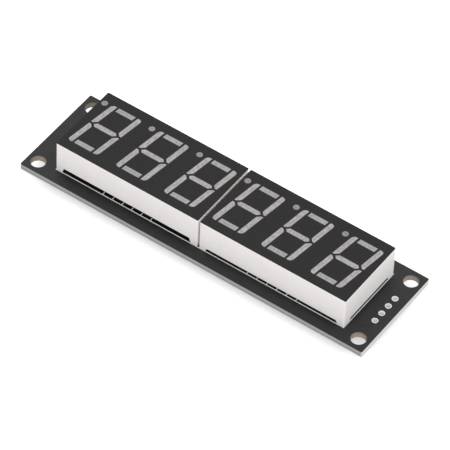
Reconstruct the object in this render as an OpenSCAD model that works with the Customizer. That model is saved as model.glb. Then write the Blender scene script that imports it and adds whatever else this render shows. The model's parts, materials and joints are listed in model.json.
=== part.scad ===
// Six digit seven segment display module.
// A circuit board carries two three digit displays on its top. A driver chip and its small parts
// sit on the underside, and a row of empty plated holes at one end takes a header.
// X runs along the digits, Y up the digits and Z out of their faces.
// The origin is the middle of the mounting hole pattern, on the board's underside.

/* [Digits] */
// Distance from one digit's middle to the next
digit_pitch = 12.7; // [12:0.1:16]
// Height of a digit
digit_h = 14.2; // [12:0.1:17]
// Space from one digit to the next
digit_space = 4.5; // [4:0.1:6]
// Lean of the digits in degrees
digit_slant = 7.5; // [0:0.5:10]
// Width of a segment
segment_w = 1.4; // [1.1:0.05:1.7]
// Gap between two segments
segment_gap = 0.4; // [0.2:0.05:0.5]
// Radius of a digit's outer corners
segment_r = 0.9; // [0.3:0.1:1]
// Diameter of the decimal dot
dot_d = 1.6; // [1:0.1:1.7]
// Gap between the dot and the digit on its left
dot_gap = 0.75; // [0.4:0.05:0.9]
// Distance of the dot below the digit's foot
dot_drop = 0.1; // [0:0.05:0.3]

/* [Displays] */
// Distance by which a display is shorter than its digits' pitches together
display_end = 0.5; // [0.2:0.1:0.8]
// Width of the black face beside the digits
face_side = 2.4; // [1.5:0.1:4]
// Height of each display, from its feet to its face
display_h = 8.1; // [7:0.1:10]
// Shift of both displays towards the header
display_shift = 0.15; // [0:0.05:0.4]
// Height at which the left display was soldered above the board
left_rise = 0.2; // [0.05:0.05:0.8]
// Height at which the right display was soldered above the board
right_rise = 0.2; // [0.05:0.05:0.8]

/* [Board] */
// Length of the board past the displays at each end
board_end = 7.05; // [6.6:0.05:12]
// Width of the board past the displays at each side
board_side = 3.4; // [2.4:0.1:8]
// Thickness of the board
board_t = 1.6; // [1:0.1:2.4]
// Radius of the board's corners
board_r = 0.3; // [0.1:0.1:2]
// Diameter of each mounting hole
mount_hole_d = 3.5; // [2.2:0.1:3.8]
// Distance from a mounting hole's middle to the board's end
mount_edge_x = 2.75; // [2.4:0.05:3]
// Distance from a mounting hole's middle to the board's side
mount_edge_y = 2.9; // [2.4:0.05:4]

/* [Housing] */
// Thickness of the housing's walls
wall_t = 0.9; // [0.6:0.1:1.1]
// Radius of the housing's upright edges
housing_r = 0.3; // [0.1:0.05:0.6]
// Height of the feet under the left display's walls
left_foot_h = 0.85; // [0.5:0.05:1.4]
// Height of the feet under the right display's walls
right_foot_h = 1.3; // [0.5:0.05:1.4]
// Length of each foot along the long walls
foot_l = 1.65; // [1.3:0.05:4]
// Width of each foot along the short walls
foot_w = 2; // [1.3:0.1:4]
// Run of the slope at the inner end of each foot
foot_slope = 0.45; // [0.1:0.05:1]
// Thickness of the black face layer
face_t = 0.1; // [0.05:0.05:0.3]
// Share of a segment's outline that is left at the inner end of its light well
well_taper = 0.5; // [0.4:0.05:0.9]

/* [Inside the displays] */
// Height of the casting's back above the ends of the feet
casting_z = 1.55; // [1.5:0.05:2]
// Thickness of the casting below the lamp board
casting_cover = 0.4; // [0.2:0.1:0.8]
// Thickness of the lamp board
lamp_board_t = 0.8; // [0.6:0.1:1.2]
// Gap between the lamp board's edge and the housing
lamp_board_gap = 0.3; // [0.1:0.1:0.4]
// Gap between the lamp board and the roof with the light wells
roof_gap = 0.3; // [0.25:0.05:0.6]
// Side of a lamp chip
lamp_chip_w = 0.3; // [0.2:0.05:0.4]
// Height of a lamp chip
lamp_chip_h = 0.2; // [0.1:0.05:0.25]

/* [Display pins] */
// Diameter of a pin
pin_d = 0.5; // [0.4:0.05:0.6]
// Distance from one pin to the next
pin_pitch = 2.54; // [2.4:0.02:2.8]
// Distance from a row of pins to the display's side
pin_row_inset = 1.88; // [1.6:0.02:3]
// Length of a pin below the display's feet
pin_l = 3.4; // [3.2:0.1:5]
// Height of a pin above the lamp board
pin_head = 0.15; // [0.05:0.05:0.2]
// Diameter of the plated hole for a pin
pin_hole_d = 0.8; // [0.7:0.05:1]
// Diameter of the ring round a pin's hole
pin_pad_d = 1.5; // [1.4:0.05:2]

/* [Header holes] */
// Distance from one header hole to the next
header_pitch = 2.54; // [2.2:0.02:3]
// Diameter of a plated header hole
header_hole_d = 1; // [0.8:0.05:1.2]
// Diameter of the ring round a header hole
header_pad_d = 1.5; // [1.4:0.05:1.9]

/* [Plating, print and solder] */
// Thickness of the plating and of the rings
plating_t = 0.05; // [0.03:0.01:0.08]
// Thickness of the printed line
print_t = 0.03; // [0.02:0.01:0.04]
// Width of the printed line
print_w = 0.22; // [0.15:0.01:0.4]
// Distance from the displays' outline in to the middle of the printed line
print_inset = 0.05; // [0:0.01:0.2]
// Gap between a printed line and the ring that it points to
print_gap = 0.1; // [0.05:0.01:0.2]
// Height of the solder round a pin under the board
solder_h = 1; // [0.6:0.1:1.2]
// Diameter of the solder at the ring under the board
solder_d = 1.3; // [1.1:0.05:1.35]
// Height of the solder round a pin on top of the board
solder_top_h = 0.25; // [0.1:0.05:0.4]
// Diameter of the solder on top of the board
solder_top_d = 1.1; // [1:0.05:1.3]

/* [Driver chip] */
// Length of the chip's body past the middle of its last lead
chip_end = 0.69; // [0.4:0.01:1.2]
// Width of the chip's body
chip_w = 7.5; // [5:0.1:8]
// Height of the chip's body
chip_h = 2.3; // [2:0.1:2.6]
// Gap between the chip's body and the board
chip_standoff = 0.2; // [0.1:0.05:0.4]
// Inset of the chip's top and bottom faces, from its slanted sides
chip_draft = 0.2; // [0.05:0.05:0.4]
// Distance from one lead to the next
lead_pitch = 1.27; // [1.2:0.01:1.28]
// Distance that a lead reaches out from the body
lead_reach = 1.4; // [1.2:0.05:1.8]
// Length of a lead's foot
lead_foot_l = 0.8; // [0.6:0.05:0.9]
// Width of a lead
lead_w = 0.42; // [0.3:0.02:0.6]
// Thickness of a lead
lead_t = 0.25; // [0.2:0.01:0.3]
// Height of the leads where they leave the body, above the board
lead_exit_z = 1.2; // [1:0.05:1.4]
// Inner radius of a lead's bends
lead_bend_r = 0.15; // [0.05:0.05:0.25]
// Depth of the round mark beside the chip's first lead
chip_mark_depth = 0.1; // [0.05:0.05:0.2]

/* [Small parts] */
// Length of a small part
small_l = 2; // [1.8:0.05:2.2]
// Width of a small part
small_w = 1.25; // [1:0.05:1.4]
// Height of a small capacitor
small_cap_h = 0.9; // [0.6:0.05:1.3]
// Height of a resistor
resistor_h = 0.5; // [0.35:0.05:0.7]
// Length of the supply capacitor
large_l = 3.2; // [2.8:0.1:3.6]
// Width of the supply capacitor
large_w = 1.6; // [1.4:0.1:2]
// Height of the supply capacitor
large_h = 1.6; // [1.2:0.1:2]
// Length of a small part's metal end
end_l = 0.4; // [0.3:0.05:0.5]
// Height by which the metal ends stand proud of the middle
end_step = 0.03; // [0.01:0.01:0.05]
// Length of a pad and its solder past a part's end
pad_over = 0.4; // [0.3:0.05:0.6]
// Distance from one small part to the next in their column
small_gap_y = 2.54; // [2.1:0.02:3]

/* [Hidden] */
$fn = 64;

// Counts that belong to this kind of display, chip and header
digit_count = 3;
pins_in_row = 6;
header_count = 4;
leads_on_side = 10;

// Colours
mask_colour = [0.17, 0.17, 0.17];
print_colour = [0.92, 0.92, 0.92];
tin_colour = [0.8, 0.81, 0.82];
housing_colour = [0.89, 0.87, 0.86];
face_colour = [0.2, 0.2, 0.2];
casting_colour = [0.76, 0.73, 0.73];
lamp_board_colour = [0.85, 0.83, 0.72];
lamp_chip_colour = [0.75, 0.55, 0.3];
chip_colour = [0.12, 0.12, 0.12];
capacitor_colour = [0.66, 0.53, 0.4];
resistor_colour = [0.1, 0.1, 0.11];

// Amount by which a cut runs past the face it opens through
past = 1;

// Sizes that follow from the digits: the displays, and the board that carries them
display_step = digit_count * digit_pitch;
display_l = display_step - display_end;
display_w = digit_h + 2 * face_side;
board_l = display_step + display_l + 2 * board_end;
board_w = display_w + 2 * board_side;

// Places on the board
mount_x = board_l / 2 - mount_edge_x;
mount_y = board_w / 2 - mount_edge_y;
header_x = -mount_x;
left_x = -display_shift - display_step / 2;
right_x = -display_shift + display_step / 2;
pin_y = display_w / 2 - pin_row_inset;

// Sizes of the driver chip
chip_l = (leads_on_side - 1) * lead_pitch + 2 * chip_end;
lead_span = chip_w + 2 * lead_reach;

// Heights in a display, from its feet
lamp_board_z = casting_z + casting_cover;
lamp_board_top = lamp_board_z + lamp_board_t;
roof_z = lamp_board_top + roof_gap;
roof_top = display_h - face_t;

// Places of the small parts under the board: a column beside the header, and two near the chip
column_x = header_x + header_pad_d / 2 + pad_over + small_l + 2;
supply_x = column_x + small_l + large_l / 2 + pad_over;
bypass_x = -chip_l / 2 - small_w - pad_over;

// Points of a digit, upright and about its middle
digit_w = digit_pitch - digit_space;
joint_x = digit_w / 2 - segment_w / 2;
joint_gap = segment_gap / sqrt(2);
inner_x = digit_w / 2 - segment_w;
arc_steps = 5;

// Place of the dot: beside the lower right corner of the leaning digit
dot_y = digit_h / 2 - dot_d / 2 + dot_drop;
dot_x = digit_w / 2 - dot_y * tan(digit_slant) + dot_gap + dot_d / 2;

function lean(p) = [p.x + p.y * tan(digit_slant), p.y];
function flip(points, sx, sy) = [for (p = points) [p.x * sx, p.y * sy]];
function sum(points, i = 0) = i == len(points) ? [0, 0] : points[i] + sum(points, i + 1);
function middle(points) = sum(points) / len(points);
function digit_x(i) = (i - (digit_count - 1) / 2) * digit_pitch;
function pin_x(i) = (i - (pins_in_row - 1) / 2) * pin_pitch;

function bar_points() =
    let (x = inner_x - segment_gap, low = digit_h / 2 - segment_w, high = digit_h / 2)
    [[-x, low], [x, low], [x, high], [-x, high]];

function middle_points() =
    let (tip = joint_x - joint_gap, half = segment_w / 2)
    [[-tip, 0], [half - tip, -half], [tip - half, -half], [tip, 0], [tip - half, half], [half - tip, half]];

function upright_points() =
    let (x = digit_w / 2, y = digit_h / 2, low = segment_gap / 2, reach = joint_x + joint_gap)
    concat(
        [[inner_x, y], [inner_x, reach - inner_x], [reach - low, low], [x, low]],
        [for (i = [0:arc_steps])
            let (a = 90 * i / arc_steps)
            [x - segment_r + segment_r * cos(a), y - segment_r + segment_r * sin(a)]]
    );

segments = [
    bar_points(),
    upright_points(),
    flip(upright_points(), 1, -1),
    flip(bar_points(), 1, -1),
    flip(upright_points(), -1, -1),
    flip(upright_points(), -1, 1),
    middle_points()
];
leaning_segments = [for (s = segments) [for (p = s) lean(p)]];

// Shared shapes

module rounded_plate(l, w, r) {
    square([l - 2 * r, w], center = true);
    square([l, w - 2 * r], center = true);
    for (x = [-1, 1], y = [-1, 1])
        translate([x * (l / 2 - r), y * (w / 2 - r)])
            circle(r);
}

module at_mounts() {
    for (x = [-1, 1], y = [-1, 1])
        translate([x * mount_x, y * mount_y, 0])
            children();
}

module at_header_hole(i) {
    translate([header_x, (i - (header_count + 1) / 2) * header_pitch, 0])
        children();
}

module at_pins() {
    for (side = [-1, 1], i = [0:pins_in_row - 1])
        translate([pin_x(i), side * pin_y, 0])
            children();
}

module at_digits() {
    for (i = [0:digit_count - 1])
        translate([digit_x(i), 0, 0])
            children();
}

module on_left() {
    translate([left_x, 0, 0])
        children();
}

module on_right() {
    translate([right_x, 0, 0])
        children();
}

module seat_left() {
    translate([left_x, 0, board_t + left_rise])
        children();
}

module seat_right() {
    translate([right_x, 0, board_t + right_rise])
        children();
}

// Turns a part that is drawn on a floor upside down, onto the pads under the board
module under_board() {
    translate([0, 0, -plating_t])
        rotate([180, 0, 0])
            children();
}

// Board

module main_board() {
    color(mask_colour)
        linear_extrude(board_t)
            difference() {
                rounded_plate(board_l, board_w, board_r);
                at_mounts()
                    circle(d = mount_hole_d);
                for (i = [1:header_count])
                    at_header_hole(i)
                        circle(d = header_hole_d + 2 * plating_t);
                for (x = [left_x, right_x])
                    translate([x, 0])
                        at_pins()
                            circle(d = pin_hole_d + 2 * plating_t);
            }
}

// A line round both displays, with a short line from it to the ring of each display pin
module outline_print() {
    l = display_l + display_step - 2 * print_inset;
    w = display_w - 2 * print_inset;
    reach = pin_row_inset - print_inset - pin_pad_d / 2 - print_gap;
    color(print_colour)
        translate([0, 0, board_t])
            linear_extrude(print_t) {
                translate([-display_shift, 0])
                    difference() {
                        square([l + print_w, w + print_w], center = true);
                        square([l - print_w, w - print_w], center = true);
                    }
                for (x = [left_x, right_x], side = [0, 180], i = [0:pins_in_row - 1])
                    translate([x, 0])
                        rotate(side)
                            translate([pin_x(i) - print_w / 2, w / 2 - reach])
                                square([print_w, reach]);
            }
}

// A plated hole: a tube through the board with a ring on each face
module plated_hole(hole_d, pad_d) {
    difference() {
        union() {
            translate([0, 0, -plating_t])
                cylinder(h = board_t + 2 * plating_t, d = hole_d + 2 * plating_t);
            for (z = [-plating_t, board_t])
                translate([0, 0, z])
                    cylinder(h = plating_t, d = pad_d);
        }
        translate([0, 0, -past])
            cylinder(h = board_t + 2 * past, d = hole_d);
    }
}

module header_hole(i) {
    color(tin_colour)
        at_header_hole(i)
            plated_hole(header_hole_d, header_pad_d);
}

module pin_holes() {
    color(tin_colour)
        at_pins()
            plated_hole(pin_hole_d, pin_pad_d);
}

// Displays, drawn about the middle of their feet

// One tapered prism, small at the roof's underside and full size at its top
module light_well(points) {
    c = middle(points);
    translate([c.x, c.y, roof_z])
        linear_extrude(roof_top - roof_z, scale = 1 / well_taper)
            polygon([for (p = points) (p - c) * well_taper]);
}

module light_wells() {
    at_digits() {
        for (s = leaning_segments)
            light_well(s);
        translate([dot_x, -dot_y, roof_z])
            cylinder(h = roof_top - roof_z, d1 = dot_d * well_taper, d2 = dot_d);
    }
}

module face_windows() {
    at_digits() {
        for (s = leaning_segments)
            polygon(s);
        translate([dot_x, -dot_y])
            circle(d = dot_d);
    }
}

// The gap under a wall: wide at the board and narrower where the feet slope into the wall
module wall_relief(span, foot, foot_h, length) {
    rotate([90, 0, 0])
        linear_extrude(length, center = true)
            polygon([
                [-span / 2 + foot, 0],
                [-span / 2 + foot, -past],
                [span / 2 - foot, -past],
                [span / 2 - foot, 0],
                [span / 2 - foot - foot_slope, foot_h],
                [-span / 2 + foot + foot_slope, foot_h]
            ]);
}

module housing(foot_h) {
    color(housing_colour)
        difference() {
            linear_extrude(roof_top)
                rounded_plate(display_l, display_w, housing_r);
            translate([0, 0, -past])
                linear_extrude(roof_z + past)
                    square([display_l - 2 * wall_t, display_w - 2 * wall_t], center = true);
            wall_relief(display_l, foot_l, foot_h, display_w + 2 * past);
            rotate([0, 0, 90])
                wall_relief(display_w, foot_w, foot_h, display_l + 2 * past);
            light_wells();
        }
}

module face_layer() {
    color(face_colour)
        translate([0, 0, roof_top])
            linear_extrude(face_t)
                difference() {
                    rounded_plate(display_l, display_w, housing_r);
                    face_windows();
                }
}

module lamp_board_blank() {
    margin = wall_t + lamp_board_gap;
    translate([0, 0, lamp_board_z])
        linear_extrude(lamp_board_t)
            square([display_l - 2 * margin, display_w - 2 * margin], center = true);
}

module pins() {
    color(tin_colour)
        at_pins()
            translate([0, 0, -pin_l])
                cylinder(h = pin_l + lamp_board_top + pin_head, d = pin_d);
}

module lamp_chip(c) {
    translate([c.x - lamp_chip_w / 2, c.y - lamp_chip_w / 2, lamp_board_top])
        cube([lamp_chip_w, lamp_chip_w, lamp_chip_h]);
}

module lamp_chips() {
    color(lamp_chip_colour)
        at_digits() {
            for (s = leaning_segments)
                lamp_chip(middle(s));
            lamp_chip([dot_x, -dot_y]);
        }
}

module lamp_board() {
    color(lamp_board_colour)
        difference() {
            lamp_board_blank();
            pins();
        }
}

// The clear grey resin that fills the light wells and seals the back, cast in one piece
module casting() {
    color(casting_colour)
        difference() {
            union() {
                translate([0, 0, casting_z])
                    linear_extrude(roof_z - casting_z)
                        square([display_l - 2 * wall_t, display_w - 2 * wall_t], center = true);
                light_wells();
                translate([0, 0, roof_top])
                    linear_extrude(face_t)
                        face_windows();
            }
            lamp_board_blank();
            lamp_chips();
            pins();
        }
}

// Solder that fills a pin's hole, with a hollow cone under the board and a low collar on top
cone_steps = 4;
function cone_points() = [
    for (i = [0:cone_steps])
        let (t = i / cone_steps, grow = solder_d / 2 - pin_d / 2)
        [pin_d / 2 + grow * t * t, -plating_t - solder_h * (1 - t)]
];

module solder_joint() {
    rotate_extrude()
        polygon(concat(
            cone_points(),
            [
                [pin_hole_d / 2, -plating_t],
                [pin_hole_d / 2, board_t + plating_t],
                [solder_top_d / 2, board_t + plating_t],
                [pin_d / 2, board_t + plating_t + solder_top_h]
            ]
        ));
}

module solder_joints() {
    color(tin_colour)
        at_pins()
            solder_joint();
}

// Driver chip, drawn on a floor with its leads' feet at zero height

function chip_side(half) = [
    [-half + chip_draft, chip_standoff],
    [half - chip_draft, chip_standoff],
    [half, lead_exit_z - lead_t / 2],
    [half, lead_exit_z + lead_t / 2],
    [half - chip_draft, chip_standoff + chip_h],
    [-half + chip_draft, chip_standoff + chip_h],
    [-half, lead_exit_z + lead_t / 2],
    [-half, lead_exit_z - lead_t / 2]
];

module chip_body() {
    mark_d = chip_w / 6;
    mark_in = chip_w / 5;
    difference() {
        intersection() {
            rotate([90, 0, 0])
                linear_extrude(chip_w, center = true)
                    polygon(chip_side(chip_l / 2));
            rotate([90, 0, 90])
                linear_extrude(chip_l, center = true)
                    polygon(chip_side(chip_w / 2));
        }
        translate([mark_in - chip_l / 2, mark_in - chip_w / 2, chip_standoff + chip_h - chip_mark_depth])
            cylinder(h = past, d = mark_d);
    }
}

module driver_chip() {
    color(chip_colour)
        under_board()
            chip_body();
}

module at_leads() {
    for (turn = [0, 180], i = [0:leads_on_side - 1])
        rotate([0, 0, turn])
            translate([(i - (leads_on_side - 1) / 2) * lead_pitch, 0, 0])
                children();
}

// A quarter turn of points about c, from the angle start, turning by the angle sweep
bend_steps = 3;
function bend(c, r, start, sweep) = [
    for (i = [0:bend_steps])
        let (a = start + sweep * i / bend_steps)
        [c.x + r * cos(a), c.y + r * sin(a)]
];

// A bent strip: a flat foot, a bend up, an upright, and a bend into the body's side
module lead() {
    toe = lead_span / 2;
    heel = toe - lead_foot_l;
    outer_r = lead_bend_r + lead_t;
    foot_c = [heel + outer_r, outer_r];
    shoulder_c = [heel - lead_bend_r, lead_exit_z + lead_t / 2 - outer_r];
    rotate([90, 0, 90])
        linear_extrude(lead_w, center = true)
            polygon(concat(
                [[toe, 0], [toe, lead_t]],
                bend(foot_c, lead_bend_r, 270, -90),
                bend(shoulder_c, outer_r, 0, 90),
                [[chip_w / 2, lead_exit_z + lead_t / 2], [chip_w / 2, lead_exit_z - lead_t / 2]],
                bend(shoulder_c, lead_bend_r, 90, -90),
                bend(foot_c, outer_r, 180, 90)
            ));
}

module driver_leads() {
    color(tin_colour)
        under_board()
            at_leads()
                lead();
}

// Small parts, drawn on a floor, with their length along X

module small_part(l, w, h) {
    translate([-l / 2 + end_l, -w / 2 + end_step, 0])
        cube([l - 2 * end_l, w - 2 * end_step, h - end_step]);
    for (x = [-l / 2, l / 2 - end_l])
        translate([x, -w / 2, 0])
            cube([end_l, w, h]);
}

// Each small part's place on the underside: name, x, y, turn, length, width and height
function small_column_y(i) = (i - 1.5) * small_gap_y;
SMALL_PARTS = [
    ["clock_capacitor", column_x, small_column_y(0), 0, small_l, small_w, small_cap_h],
    ["clock_resistor", column_x, small_column_y(1), 0, small_l, small_w, resistor_h],
    ["data_resistor", column_x, small_column_y(2), 0, small_l, small_w, resistor_h],
    ["data_capacitor", column_x, small_column_y(3), 0, small_l, small_w, small_cap_h],
    ["supply_capacitor", supply_x, 0, 90, large_l, large_w, large_h],
    ["bypass_capacitor", bypass_x, 0, 90, small_l, small_w, small_cap_h]
];

module at_place(part) {
    translate([part[1], part[2], 0])
        rotate([0, 0, part[3]])
            children();
}

module placed_small_part(name) {
    for (part = SMALL_PARTS)
        if (part[0] == name)
            under_board()
                at_place(part)
                    small_part(part[4], part[5], part[6]);
}

module capacitor(name) {
    color(capacitor_colour)
        placed_small_part(name);
}

module resistor(name) {
    color(resistor_colour)
        placed_small_part(name);
}

// Tinned pads on the underside, one under each lead and each metal end
module surface_pads() {
    color(tin_colour)
        rotate([180, 0, 0]) {
            at_leads()
                translate([-lead_w / 2, lead_span / 2 - lead_foot_l, 0])
                    cube([lead_w, lead_foot_l + pad_over, plating_t]);
            for (part = SMALL_PARTS)
                at_place(part)
                    for (side = [0, 180])
                        rotate([0, 0, side])
                            translate([part[4] / 2 - end_l, -part[5] / 2, 0])
                                cube([end_l + pad_over, part[5], plating_t]);
        }
}

// A wedge of solder that rises from a pad to a metal end
module solder_wedge(w, h) {
    rotate([90, 0, 0])
        linear_extrude(w, center = true)
            polygon([[0, 0], [pad_over, 0], [pad_over / 3, h / 4], [0, h]]);
}

module surface_solder() {
    color(tin_colour)
        under_board() {
            at_leads()
                translate([0, lead_span / 2, 0])
                    rotate([0, 0, 90])
                        solder_wedge(lead_w, lead_t);
            for (part = SMALL_PARTS)
                at_place(part)
                    for (side = [0, 180])
                        rotate([0, 0, side])
                            translate([part[4] / 2, 0, 0])
                                solder_wedge(part[5], part[6] * 0.6);
        }
}

// Nodes

module header_hole_1() { header_hole(1); }
module header_hole_2() { header_hole(2); }
module header_hole_3() { header_hole(3); }
module header_hole_4() { header_hole(4); }
module left_pin_holes() { on_left() pin_holes(); }
module right_pin_holes() { on_right() pin_holes(); }
module left_housing() { seat_left() housing(left_foot_h); }
module right_housing() { seat_right() housing(right_foot_h); }
module left_face() { seat_left() face_layer(); }
module right_face() { seat_right() face_layer(); }
module left_casting() { seat_left() casting(); }
module right_casting() { seat_right() casting(); }
module left_lamp_board() { seat_left() lamp_board(); }
module right_lamp_board() { seat_right() lamp_board(); }
module left_lamp_chips() { seat_left() lamp_chips(); }
module right_lamp_chips() { seat_right() lamp_chips(); }
module left_pins() { seat_left() pins(); }
module right_pins() { seat_right() pins(); }
module left_solder() { on_left() solder_joints(); }
module right_solder() { on_right() solder_joints(); }
module supply_capacitor() { capacitor("supply_capacitor"); }
module bypass_capacitor() { capacitor("bypass_capacitor"); }
module clock_capacitor() { capacitor("clock_capacitor"); }
module data_capacitor() { capacitor("data_capacitor"); }
module clock_resistor() { resistor("clock_resistor"); }
module data_resistor() { resistor("data_resistor"); }

main_board();
outline_print();
header_hole_1();
header_hole_2();
header_hole_3();
header_hole_4();
left_pin_holes();
right_pin_holes();
left_housing();
right_housing();
left_face();
right_face();
left_casting();
right_casting();
left_lamp_board();
right_lamp_board();
left_lamp_chips();
right_lamp_chips();
left_pins();
right_pins();
left_solder();
right_solder();
driver_chip();
driver_leads();
supply_capacitor();
bypass_capacitor();
clock_capacitor();
data_capacitor();
clock_resistor();
data_resistor();
surface_pads();
surface_solder();
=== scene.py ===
"""Looks of a six digit seven segment display module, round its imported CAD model."""

import json
import math

import bmesh
import bpy
from bpy.props import FloatProperty, FloatVectorProperty, PointerProperty
from bpy.types import Operator, Panel, PropertyGroup
from mathutils import Matrix, Vector

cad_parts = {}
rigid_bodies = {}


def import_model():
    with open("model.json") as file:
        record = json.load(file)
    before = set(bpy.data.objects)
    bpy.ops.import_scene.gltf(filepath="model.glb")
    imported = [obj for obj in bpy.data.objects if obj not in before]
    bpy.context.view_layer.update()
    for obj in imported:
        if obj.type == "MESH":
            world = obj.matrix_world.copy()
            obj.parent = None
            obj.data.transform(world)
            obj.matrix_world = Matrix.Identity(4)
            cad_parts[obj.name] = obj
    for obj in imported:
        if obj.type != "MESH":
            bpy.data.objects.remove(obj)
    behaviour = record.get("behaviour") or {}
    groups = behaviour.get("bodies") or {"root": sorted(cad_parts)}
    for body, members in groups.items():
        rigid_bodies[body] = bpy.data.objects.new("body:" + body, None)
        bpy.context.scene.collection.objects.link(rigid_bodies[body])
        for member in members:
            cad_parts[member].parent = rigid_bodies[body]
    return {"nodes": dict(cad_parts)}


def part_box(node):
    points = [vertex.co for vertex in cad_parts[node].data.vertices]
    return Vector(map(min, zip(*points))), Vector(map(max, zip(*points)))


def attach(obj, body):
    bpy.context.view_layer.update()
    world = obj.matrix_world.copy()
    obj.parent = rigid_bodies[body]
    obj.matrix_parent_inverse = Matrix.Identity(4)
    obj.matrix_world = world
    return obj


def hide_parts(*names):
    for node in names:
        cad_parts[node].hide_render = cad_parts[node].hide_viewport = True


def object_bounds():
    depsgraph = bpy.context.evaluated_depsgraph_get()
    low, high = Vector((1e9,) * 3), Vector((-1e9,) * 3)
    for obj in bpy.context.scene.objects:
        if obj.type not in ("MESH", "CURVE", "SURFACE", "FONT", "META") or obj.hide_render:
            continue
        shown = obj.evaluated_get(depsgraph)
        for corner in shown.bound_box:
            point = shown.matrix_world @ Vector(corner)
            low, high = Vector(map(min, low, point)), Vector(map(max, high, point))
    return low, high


bl_info = {
    "name": "Seven segment display module",
    "version": (1, 0, 0),
    "blender": (4, 5, 0),
    "location": "3D View > Sidebar > Display module",
    "description": "Dresses a six digit display module and sets its studio",
    "category": "Object",
}

for leftover in list(bpy.data.objects):
    bpy.data.objects.remove(leftover)
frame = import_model()
CAD_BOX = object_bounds()

MM = 0.001
SIDES = ("left", "right")
HEADER_HOLES = [f"header_hole_{i}" for i in range(1, 5)]

# The axis that each small part lies along: 0 is X and 1 is Y
SMALL_PARTS = {
    "supply_capacitor": 1, "bypass_capacitor": 1,
    "clock_capacitor": 0, "data_capacitor": 0,
    "clock_resistor": 0, "data_resistor": 0,
}


def span(node):
    """Middle and half size of a CAD node."""
    low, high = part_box(node)
    return (low + high) / 2, (high - low) / 2


BOARD_HALF = span("main_board")[1]
BOARD_TOP = 2 * BOARD_HALF.z
HEADER_X = span("header_hole_1")[0].x
RIGHT_MIDDLE, RIGHT_HALF = span("right_housing")
DISPLAYS_HALF = Vector((RIGHT_MIDDLE.x + RIGHT_HALF.x, RIGHT_HALF.y, 0))
PIN_RADIUS = 0.25 * MM
PIN_ROW_Y = span("left_pins")[1].y - PIN_RADIUS
PIN_PITCH = 2.54 * MM
DISPLAY_WINDOWS = 24

# Tracks and print on the underside
LEAD_PITCH = 1.27 * MM
LEAD_TIP_Y = 5.5 * MM
LEADS_PER_QUARTER = 5
INNER_LANE_Y = 6.3 * MM
OUTER_LANE_Y = 8.7 * MM
LANE_STEP = 0.55 * MM
LANE_TURN = 0.4 * MM
PRINT_LINE = 0.15 * MM
PRINT_HEIGHT = 0.03 * MM
CHIP_OUTLINE_Y = 3.3 * MM
CHIP_OUTLINE_MARGIN = 0.3 * MM
FIRST_LEAD_MARK = (-7.4 * MM, 5.0 * MM)
FIRST_LEAD_MARK_RADIUS = 0.3 * MM
FIRST_HOLE_SQUARE = 1.15 * MM
PART_END_MARGIN, PART_SIDE_MARGIN = 0.7 * MM, 0.3 * MM
VIA_SIDES = 20
# Each corner of a via's profile: its share of the via's radius and of the track's height
VIA_PROFILE = ((0.28, 0.0), (0.36, 1.0), (0.75, 1.0), (1.0, 0.0))


# Properties

def length(name, description, default, low=0.0, high=1.0):
    return FloatProperty(name=name, description=description, default=default,
                         min=low, max=high, precision=6, unit="LENGTH", subtype="DISTANCE")


def colour(name, description, default):
    return FloatVectorProperty(name=name, description=description, default=default,
                               size=3, min=0, max=1, subtype="COLOR")


def share(name, description, default, high=1.0):
    return FloatProperty(name=name, description=description, default=default,
                         min=0, max=high, subtype="FACTOR")


def turn(name, description, default):
    return FloatProperty(name=name, description=description, default=math.radians(default),
                         unit="ROTATION", subtype="ANGLE")


class BoardLook(PropertyGroup):
    """Circuit board, its print and what is under its mask"""
    mask: colour("Solder mask", "Colour of the solder mask on both faces", (0.017, 0.017, 0.0175))
    laminate: colour("Laminate", "Colour of the cut glass fibre edge", (0.71, 0.708, 0.69))
    drilled: colour("Drilled wall", "Colour of the walls of the mounting holes", (0.43, 0.37, 0.31))
    ink: colour("Print", "Colour of the printed lines", (0.92, 0.92, 0.91))
    weave: length("Weave", "Distance between two glass threads that show through the mask", 0.55 * MM)
    track_width: length("Track width", "Width of a track under the mask", 0.28 * MM)
    track_height: length("Track height", "Height of a track under the mask", 0.035 * MM)
    via: length("Via", "Diameter of a via's ring", 0.8 * MM)


class DisplayLook(PropertyGroup):
    """Two displays: housings, faces and poured segments"""
    housing: colour("Housing", "Colour of the moulded housings", (0.875, 0.838, 0.825))
    # Painted shade for the housings' inside and the underside of their walls
    inner_shade: colour("Shaded plastic", "Colour of the housings inside and under their walls",
                   (0.20, 0.19, 0.185))
    face: colour("Face", "Colour of the black faces", (0.010, 0.0098, 0.0097))
    resin: colour("Resin", "Colour of the middle of an upright segment", (0.290, 0.272, 0.273))
    resin_bar: colour("Resin of bars", "Colour of the middle of a level segment", (0.272, 0.264, 0.268))
    resin_dot: colour("Resin of dots", "Colour of the middle of a dot", (0.180, 0.178, 0.181))
    resin_rim: colour("Resin rim", "Colour of a segment along its rim", (0.60, 0.56, 0.55))
    bare_rim: length("Bare rim", "Height of a face's side that the black leaves bare", 0.07 * MM)
    sink: length("Sink", "Depth to which the resin sank inside its window", 0.05 * MM)
    sink_width: length("Sink width", "Width over which the resin sinks", 0.36 * MM)
    overprint: share("Overprint", "Share of the sink's width that the black covers", 0.32)


class MetalLook(PropertyGroup):
    """Plating, pins and solder"""
    tin: colour("Tin", "Colour of the tinned rings and holes", (0.76, 0.76, 0.75))
    # Painted highlight: a paler tin for inside the holes
    barrel_highlight: colour("Barrel", "Colour of the tin inside the holes", (0.93, 0.93, 0.92))
    pin: colour("Pin", "Colour of the pins and leads", (0.62, 0.62, 0.61))
    solder: colour("Solder", "Colour of the solder", (0.66, 0.67, 0.68))
    ring_round: length("Ring round", "Radius of the edge of a tinned ring", 0.04 * MM)


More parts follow.
